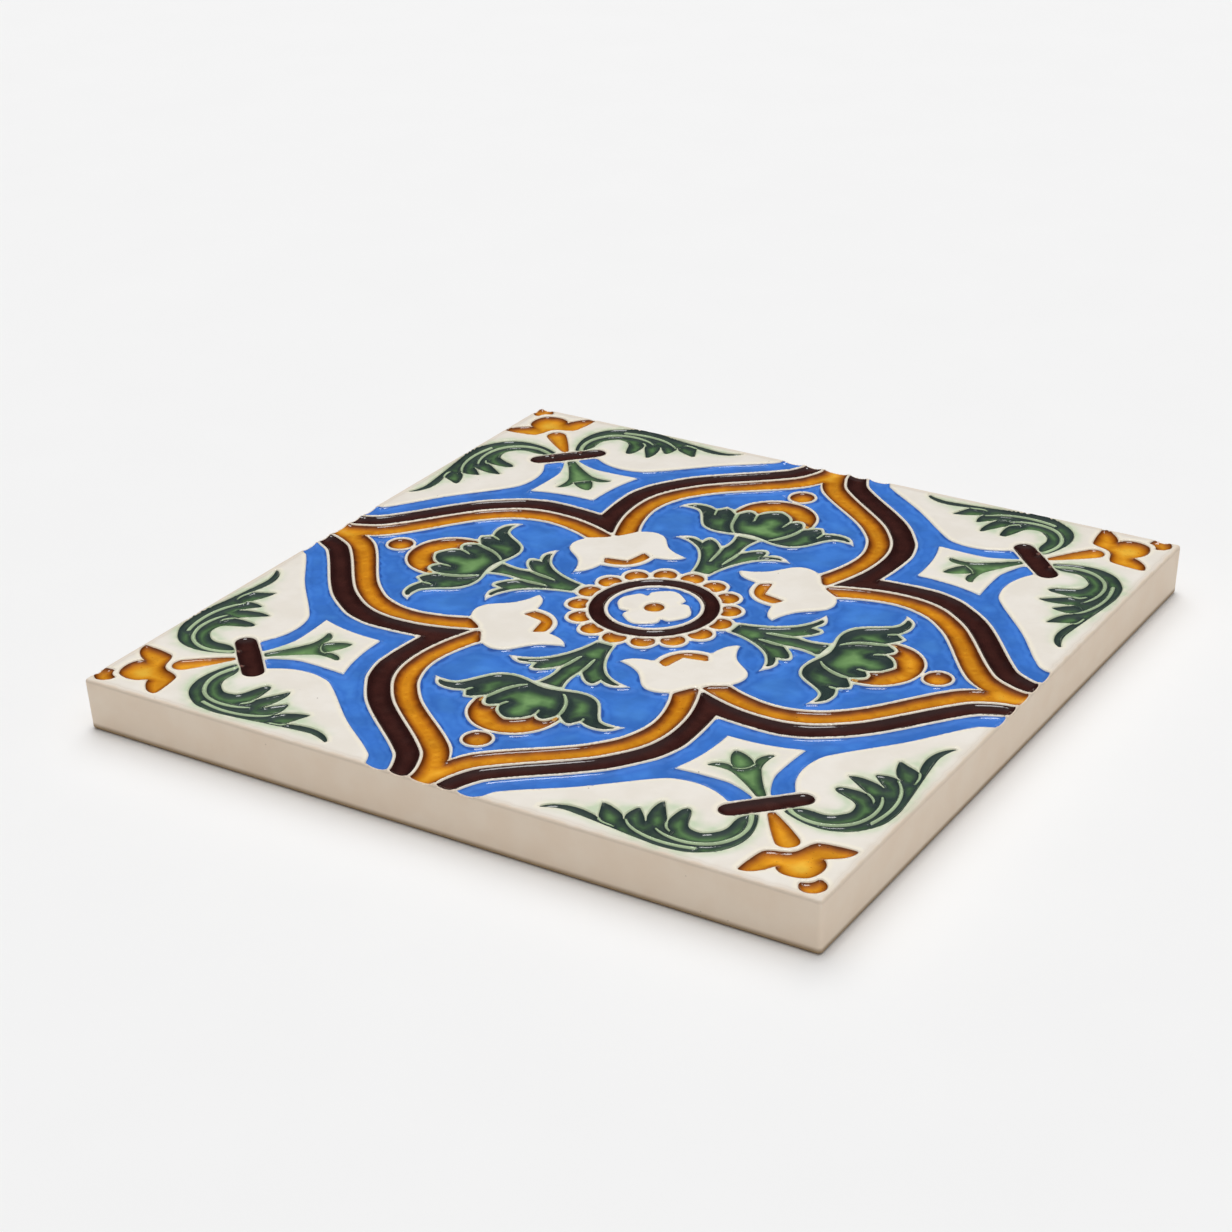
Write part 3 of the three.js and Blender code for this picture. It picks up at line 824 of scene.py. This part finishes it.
def add_pools():
    """A closed pool of glaze for each well: the fired surface, a wall down its border and a flat bottom.
    A vein counts as an edge for the colours, a little way off its own foot."""
    spread, foot = 1.15, 0.24
    points = np.vstack([face_places, face_places * (1, 1, 0) + (0, 0, well_floor + glaze_seat)])
    total = len(points)
    from_vein = sample(vein_distance, face_xy) * spread - foot
    inward = with_rest(np.maximum(np.minimum(-face_distance, from_vein), 0), total)
    vein = with_rest(veins_at(face_xy), total)
    shading = face_normals(face_xy, face_distance, True)
    for number, well in enumerate(wells):
        top = pool_triangles[number]
        under = flat_triangles[flat_well == number][:, ::-1] + face_count
        triangles = np.concatenate([top, walls(pool_borders[number], face_count), under])
        fired = sum(share for start, share in paler.items() if well["name"].startswith(start))
        values = {"inward": inward, "vein": vein, "paler": np.full(total, float(fired))}
        piece = add_piece(well["name"], points, triangles, well["slot"], values, [(len(top), shading)])
        if well["node"]:
            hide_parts(well["node"])


def groove_distance(points):
    """Signed distance to the nearest keying groove's outline, a rectangle with rounded corners."""
    column = np.clip(np.floor(points[:, 0] / groove_pitch), -groove_count / 2, groove_count / 2 - 1)
    middle = np.stack([(column + 0.5) * groove_pitch, np.zeros(len(points))], axis=1)
    beyond = np.abs(points - middle) - groove_core
    return np.hypot(*np.maximum(beyond, 0).T) + np.minimum(beyond.max(axis=1), 0) - groove_round


def underside():
    """The back: level, with grooves whose sides fall as a smooth step. Points by profiles carried along
    the grooves' outlines."""
    border = rounded_square(draft + back_chamfer)
    lean = np.linspace(0, 2 * math.pi, 40, endpoint=False)
    ends = np.stack([np.cos(lean), np.sin(lean)], axis=1)
    corners = np.sign(ends + 1e-9) * groove_core
    groove = np.vstack([spaced(ends * (groove_round + ring) + corners, 0.9) for ring in groove_rings])
    steps = (np.arange(groove_count) - (groove_count - 1) / 2) * groove_pitch
    grooves = np.vstack([groove + (step, 0) for step in steps])
    filling = even_filling(-half + back_step, half - 2, back_step)
    filling = filling[np.abs(groove_distance(filling) + 0.25) > 0.7]
    points = np.vstack([border, grooves, filling])
    made, triangles, _, _ = triangulate(points, [np.arange(len(border))], [0])
    height = groove_depth * smooth_step(groove_distance(made), *groove_flank)
    return np.column_stack([made, height]), triangles[:, ::-1], len(border)


def add_body():
    """The slab: the face outside the pools, the wells' walls and floors, the four sides with the chamfer
    below, and the grooved back. The sides are shaded square to themselves."""
    body_triangles = face_triangles[face_well < 0]
    sunk = face_places * (1, 1, 0) + (0, 0, well_floor)
    outline = chains(border_edges(face_triangles))[0]
    around = np.arange(len(outline))
    leant = face_xy[outline] * (1 - draft / half)
    side_foot = np.column_stack([leant, np.full(len(outline), back_chamfer)])
    back_places, back_triangles, ring = underside()
    points = np.vstack([face_places, sunk, side_foot, back_places])
    foot = 2 * face_count + around
    back = 2 * face_count + len(outline)
    start = np.argmin(np.linalg.norm(back_places[:ring, :2] - face_xy[outline[0]], axis=1))
    side_triangles = band(outline, foot)
    chamfer_triangles = band(foot, back + (start + around) % ring)
    wells_in = walls(np.concatenate(pool_borders), face_count, inward=True)
    rest = [chamfer_triangles, wells_in, flat_triangles + face_count, back_triangles + back]
    triangles = np.concatenate([body_triangles, side_triangles, *rest])
    stain = np.stack([sample(field, face_xy) for field in stain_fields], axis=1)
    values = {
        "stain": with_rest(stain, len(points)),
        "away": with_rest(np.maximum(face_distance, 0), len(points), far_off),
        "halo": with_rest(sample(halo_field, face_xy), len(points)),
        "rim": with_rest(rim_distance(face_xy), len(points)),
    }
    outward = unit(np.column_stack([normals(face_xy[outline]), np.full(len(outline), -draft / crest)]))
    flank = np.zeros((len(points), 3))
    flank[outline] = outward
    flank[foot] = outward
    shading = face_normals(face_xy, face_distance, False)
    shaded = [(len(body_triangles), shading), (len(side_triangles), flank)]
    piece = add_piece("fired_tile_body", points, triangles, "cream_glazed_biscuit", values, shaded)
    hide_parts("tile_body")


# Materials

glaze_roughness = 0.06
full_depth = 4.0  # mm inside a pool's edge at which its colours run out
least_shift = 0.03  # the colours of a pool's inside start at this share of that depth


def tone(red, green, blue):
    """A colour given as it shows, from 0 to 255, as the shader takes it."""
    share = np.array([red, green, blue]) / 255
    linear = np.where(share <= 0.04045, share / 12.92, ((share + 0.055) / 1.055) ** 2.4)
    return (*linear.tolist(), 1)


class Shader:
    """Adds nodes to a tree. An input is a plain value or another node's output."""

    def __init__(self, tree):
        self.tree = tree

    def put(self, socket, value):
        if isinstance(value, bpy.types.NodeSocket):
            self.tree.links.new(value, socket)
        else:
            socket.default_value = value

    def add(self, kind, inputs=None, **settings):
        made = self.tree.nodes.new("ShaderNode" + kind)
        for key, value in settings.items():
            setattr(made, key, value)
        for key, value in (inputs or {}).items():
            self.put(made.inputs[key], value)
        return made

    def math(self, operation, first, second, third=0.0):
        return self.add("Math", {0: first, 1: second, 2: third}, operation=operation).outputs[0]

    def times(self, first, second):
        return self.math("MULTIPLY", first, second)

    def span(self, value, low, high, to_low=0.0, to_high=1.0):
        """A value's way from low to high as a smooth step between two others."""
        inputs = {"Value": value, "From Min": low, "From Max": high, "To Min": to_low, "To Max": to_high}
        return self.add("MapRange", inputs, interpolation_type="SMOOTHSTEP").outputs["Result"]

    def mix(self, share, first, second):
        return self.add("Mix", {0: share, 6: first, 7: second}, data_type="RGBA").outputs[2]

    def tinted(self, colour, mask, tint, share):
        """A colour turned towards a tint where a mask is high, by a share at most."""
        return self.mix(self.times(mask, share), colour, tint)

    def ramp(self, value, stops):
        """The colour at a value between stops, each a place from 0 to 1 and a colour from 0 to 255."""
        made = self.add("ValToRGB", {0: value})
        elements = made.color_ramp.elements
        for place, *_ in stops[1:-1]:
            elements.new(place)
        for element, (place, *colour) in zip(elements, stops):
            element.position, element.color = place, tone(*colour)
        return made.outputs[0]

    def attribute(self, name):
        return self.add("Attribute", attribute_name=name).outputs["Fac"]


def group(name, masks):
    """A node group whose outputs are the masks that a function works out in its tree."""
    shader = Shader(bpy.data.node_groups.new(name, "ShaderNodeTree"))
    found = masks(shader)
    for label in found:
        shader.tree.interface.new_socket(label, in_out="OUTPUT", socket_type="NodeSocketFloat")
    out = shader.tree.nodes.new("NodeGroupOutput")
    for label, value in found.items():
        shader.put(out.inputs[label], value)
    return shader.tree


def fired_masks(shader):
    """Masks shared by every fired surface, in millimetres of the tile's own space: slow clouds, patches,
    streaks, fine dark specks, pinholes, a shallow orange-peel swell and grain."""
    place = shader.add("TexCoord").outputs["Object"]
    place = shader.add("VectorMath", {0: place, "Scale": 1 / MM}, operation="SCALE").outputs[0]

    def noise(scale, detail, rough=0.5, warp=0.0):
        inputs = {"Vector": place, "Scale": scale, "Detail": detail, "Roughness": rough, "Distortion": warp}
        return shader.add("TexNoise", inputs).outputs[0]

    cells = shader.add("TexVoronoi", {"Vector": place, "Scale": 0.42}).outputs
    chosen = shader.add("SeparateColor", {0: cells["Color"]}).outputs[0]
    hole = shader.span(cells["Distance"], 0.03, 0.075, 1.0, 0.0)
    return {
        "Cloud": shader.span(noise(0.16, 3), 0.3, 0.7),
        "Patch": shader.span(noise(0.45, 1, 0.4), 0.3, 0.7),
        "Streak": shader.span(noise(0.22, 1, 0.4, warp=0.5), 0.42, 0.75),
        "Specks": shader.span(noise(2.6, 2, 0.6), 0.66, 0.72),
        "Pinholes": shader.times(hole, shader.math("GREATER_THAN", chosen, 0.8)),
        "Swell": noise(0.55, 2, 0.4),
        "Grain": noise(9.0, 4, 0.7),
    }


def pool_masks(shader):
    """Where a point lies in a pool, from the distance to its edge: the thin edge, where the glaze is drawn
    off the raised line, the middle, the veins that show through, and the depth as a share."""
    inward = shader.attribute("inward")
    depth = shader.add("Math", {0: inward, 1: full_depth}, operation="DIVIDE", use_clamp=True)
    return {
        "Thin": shader.span(inward, 0.0, 0.1, 1.0, 0.0),
        "Middle": shader.span(inward, 0.4, 2.4),
        "Vein": shader.span(shader.attribute("vein"), 0.3, 0.5),
        "Depth": depth.outputs[0],
    }


fired_surface = group("fired surface", fired_masks)
pool_depth = group("depth of pool", pool_masks)


def new_material(slot):
    """A material with a Principled shader, and the masks of a fired surface."""
    material = bpy.data.materials.new(slot)
    material.use_nodes = True
    material.node_tree.nodes.clear()
    shader = Shader(material.node_tree)
    surface = shader.add("Group", node_tree=fired_surface)
    principled = shader.add("BsdfPrincipled")
    shader.add("OutputMaterial", {"Surface": principled.outputs[0]})
    materials[slot] = material
    return shader, surface.outputs, principled.inputs


def put_skin(shader, skin, colour, relief):
    """Gives a surface its colour and a bump 0.08 mm deep."""
    bump = shader.add("Bump", {"Height": relief, "Strength": 0.5, "Distance": 0.08 * MM})
    shader.put(skin["Base Color"], colour)
    shader.put(skin["Normal"], bump.outputs[0])


def glaze_material(slot, stops, spread, streak, speck, vein):
    """Coloured glaze. Its colour follows the depth of the pool, from the pale edge over the darker ring
    inside it to the middle, with some spread, and is broken by clouds, by streaks and specks of a given
    colour and share, and by veins."""
    shader, surface, skin = new_material(slot)
    depth = shader.add("Group", node_tree=pool_depth).outputs
    stray = shader.times(shader.math("SUBTRACT", surface["Patch"], 0.5), spread)
    shifted = shader.math("ADD", depth["Depth"], stray)
    shifted = shader.math("ADD", shifted, shader.attribute("paler"))
    shifted = shader.math("MAXIMUM", shifted, least_shift)
    colour = shader.ramp(shader.mix(depth["Thin"], shifted, depth["Depth"]), stops)
    colour = shader.tinted(colour, shader.times(surface["Streak"], depth["Middle"]), *streak)
    colour = shader.tinted(colour, surface["Specks"], *speck)
    colour = shader.mix(depth["Vein"], colour, vein)
    cloud = shader.span(surface["Cloud"], 0.0, 1.0, 0.9, 1.08)
    colour = shader.add("HueSaturation", {"Color": colour, "Value": cloud}).outputs[0]
    put_skin(shader, skin, colour, surface["Swell"])
    skin["Roughness"].default_value = glaze_roughness
    skin["IOR"].default_value = 1.52


def body_material():
    """Cream glaze over the face, and biscuit on the sides and the back, darkened at the foot by a painted
    shadow. The cream has stains on the lines beside the coloured glazes, pale green halos round the leaves
    and a lighter, warmer tone on the raised lines that is partly painted highlight. It begins a little
    inside the side, by the distance called rim, and is thin there, and a painted shade darkens it near the
    side."""
    shader, surface, skin = new_material("cream_glazed_biscuit")
    patch = surface["Patch"]
    cream = shader.mix(surface["Cloud"], tone(245, 239, 230), tone(239, 232, 221))
    # The raised lines take a lighter, warmer cream than the ground: partly their own tone, partly a painted
    # highlight on their crests.
    on_line = shader.span(shader.attribute("away"), 0.5, 1.2, 1.0, 0.0)
    cream = shader.tinted(cream, on_line, tone(250, 242, 224), 0.8)
    halo = shader.span(shader.attribute("halo"), 0.02, 0.4)
    cream = shader.tinted(cream, halo, tone(206, 220, 190), shader.math("MULTIPLY_ADD", patch, 0.6, 0.4))
    stain = shader.add("Attribute", attribute_name="stain").outputs
    near = shader.add("SeparateColor", {0: stain["Color"]}).outputs
    for amount, low, tint in (
        (near[0], 0.4, tone(196, 214, 232)),
        (near[1], 0.4, tone(206, 176, 160)),
        (near[2], 0.38, tone(240, 208, 160)),
        (stain["Alpha"], 0.1, tone(222, 228, 194)),
    ):
        cream = shader.tinted(cream, shader.span(amount, low, 0.56), tint, 0.6)
    cream = shader.tinted(cream, surface["Pinholes"], tone(120, 96, 78), 0.7)
    biscuit = shader.mix(surface["Cloud"], tone(244, 224, 201), tone(247, 230, 209))
    biscuit = shader.tinted(biscuit, surface["Grain"], tone(234, 214, 191), 0.2)
    biscuit = shader.tinted(biscuit, surface["Pinholes"], tone(160, 136, 114), 0.4)
    height = shader.add("SeparateXYZ", {0: shader.add("TexCoord").outputs["Object"]}).outputs[2]
    # Painted shadow: the biscuit turns warm brown towards the bottom edge, standing in for the contact
    # shadow under the tile.
    foot = shader.span(height, 0.4 * MM, 1.5 * MM, 0.9, 0.0)
    biscuit = shader.mix(foot, biscuit, tone(150, 120, 78))
    wander = shader.times(shader.math("SUBTRACT", patch, 0.5), 0.3)
    rim = shader.math("ADD", shader.attribute("rim"), wander)
    glazed = shader.span(rim, 0.16, 0.6)
    colour = shader.mix(glazed, biscuit, cream)
    # Painted shade: the face's edge and the top of the side turn to a shaded beige, darker than the biscuit,
    # where the cream thins towards the side.
    painted_arris_shade = shader.span(rim, 0.1, 2.0, 0.6, 0.0)
    up_on_face = shader.span(height, 8.8 * MM, 9.2 * MM)
    colour = shader.mix(shader.times(painted_arris_shade, up_on_face), colour, tone(214, 198, 180))
    put_skin(shader, skin, colour, shader.mix(glazed, surface["Grain"], surface["Swell"]))
    shader.put(skin["Roughness"], shader.span(rim, 0.3, 1.2, 0.6, 0.2))
    skin["IOR"].default_value = 1.5


glaze_material(
    "blue_glaze",
    stops=(
        (0.0, 108, 154, 216), (0.03, 46, 94, 180), (0.09, 66, 124, 212),
        (0.18, 70, 130, 218), (0.35, 60, 117, 205), (0.8, 68, 128, 214),
    ),
    spread=0.14,
    streak=(tone(84, 150, 230), 0.4),
    speck=(tone(34, 66, 140), 0.12),
    vein=tone(140, 180, 230),
)
glaze_material(
    "brown_glaze",
    stops=(
        (0.0, 104, 58, 48), (0.02, 50, 22, 20), (0.12, 44, 18, 16),
        (0.4, 62, 30, 26), (0.8, 68, 34, 29),
    ),
    spread=0.1,
    streak=(tone(80, 46, 38), 0.35),
    speck=(tone(24, 12, 14), 0.3),
    vein=tone(120, 84, 74),
)
glaze_material(
    "amber_glaze",
    stops=(
        (0.0, 176, 110, 50), (0.02, 92, 42, 12), (0.09, 116, 58, 12), (0.2, 170, 96, 16),
        (0.36, 208, 132, 24), (0.52, 234, 160, 38), (0.75, 246, 190, 66),
    ),
    spread=0.05,
    streak=(tone(240, 172, 52), 0.35),
    speck=(tone(70, 34, 12), 0.6),
    vein=tone(226, 168, 84),
)
glaze_material(
    "green_glaze",
    stops=(
        (0.0, 120, 142, 106), (0.02, 46, 60, 58), (0.12, 54, 68, 64),
        (0.24, 64, 86, 65), (0.4, 90, 124, 80), (0.62, 124, 162, 104),
    ),
    spread=0.08,
    streak=(tone(112, 152, 92), 0.3),
    speck=(tone(38, 52, 48), 0.3),
    vein=tone(184, 204, 164),
)
body_material()
add_pools()
add_body()


# Floor, light and camera

def floor_material():
    """Matt white with the faintest grain."""
    material = bpy.data.materials.new("pale_table")
    material.use_nodes = True
    shader = Shader(material.node_tree)
    skin = material.node_tree.nodes["Principled BSDF"].inputs
    place = shader.add("TexCoord").outputs["Object"]
    grain = shader.add("TexNoise", {"Vector": place, "Scale": 40.0, "Detail": 2.0}).outputs[0]
    shader.put(skin["Base Color"], shader.mix(grain, tone(243, 243, 243), tone(245, 245, 245)))
    skin["Roughness"].default_value = 0.6
    skin["Specular IOR Level"].default_value = 0.1
    return material


def add_floor():
    """A level square, 6 m wide."""
    mesh = bpy.data.meshes.new("floor")
    mesh.from_pydata([(-3, -3, 0), (3, -3, 0), (3, 3, 0), (-3, 3, 0)], [], [(0, 1, 2, 3)])
    mesh.materials.append(floor_material())
    floor = new_object("floor", mesh)


def add_sky():
    """Light from all round, dim low down behind the tile and brighter from above and from the front. The
    glaze mirrors it dimly, as through a polarising filter, and the camera sees plain white."""
    world = bpy.data.worlds.new("studio")
    bpy.context.scene.world = world
    world.use_nodes = True
    world.node_tree.nodes.clear()
    shader = Shader(world.node_tree)
    way = shader.add("TexCoord").outputs["Generated"]
    height = shader.add("SeparateXYZ", {0: way}).outputs[2]
    above = shader.span(height, 0.45, 0.95, 0.07, 0.95)
    toward = shader.add("VectorMath", {0: way, 1: (0.85, -0.52, 0.0)}, operation="DOT_PRODUCT")
    front = shader.span(toward.outputs["Value"], -0.2, 0.7, 0.0, 0.44)
    rays = shader.add("LightPath").outputs
    dimming = shader.span(rays["Is Glossy Ray"], 0.0, 1.0, 1.0, 0.35)
    light = shader.times(shader.math("MAXIMUM", above, front), dimming)
    choice = {0: rays["Is Camera Ray"], 2: light, 3: 1.0}
    strength = shader.add("Mix", choice, data_type="FLOAT").outputs[0]
    background = shader.add("Background", {"Color": (1, 1, 1, 1), "Strength": strength})
    shader.add("OutputWorld", {"Surface": background.outputs[0]})


def add_lamp(name, place, side, power, mirrored=True):
    """A square lamp that looks at the tile. The glaze mirrors it or not."""
    light = bpy.data.lights.new(name, "AREA")
    light.shape = "RECTANGLE"
    light.size = light.size_y = side
    light.energy = power
    lamp = new_object(name, light)
    lamp.location = place
    lamp.rotation_euler = (-Vector(place)).to_track_quat("-Z", "Y").to_euler()
    lamp.visible_glossy = mirrored


camera_place = (0.2195, -0.3587, 0.2150)
camera_axes = (  # its right, up and back, as columns
    (0.84960, -0.21649, 0.48096),
    (0.52701, 0.38491, -0.75769),
    (-0.02109, 0.89720, 0.44111),
)


def add_camera():
    """The view of the photo, with a 78 mm lens."""
    camera_data = bpy.data.cameras.new("camera")
    camera_data.lens = 78
    camera_data.sensor_width = 36
    camera_data.clip_start = 0.01
    camera = new_object("camera", camera_data)
    camera.matrix_world = Matrix.Translation(camera_place) @ Matrix(camera_axes).to_4x4()
    bpy.context.scene.camera = camera


add_floor()
add_sky()
add_lamp("overhead_softbox", (-0.1, 0.2, 3.4), 0.9, 24)
add_lamp("rear_diffuser", (-1.0, 1.6, 2.84), 2.6, 42, mirrored=False)
add_camera()
bpy.context.scene.view_settings.view_transform = "Standard"
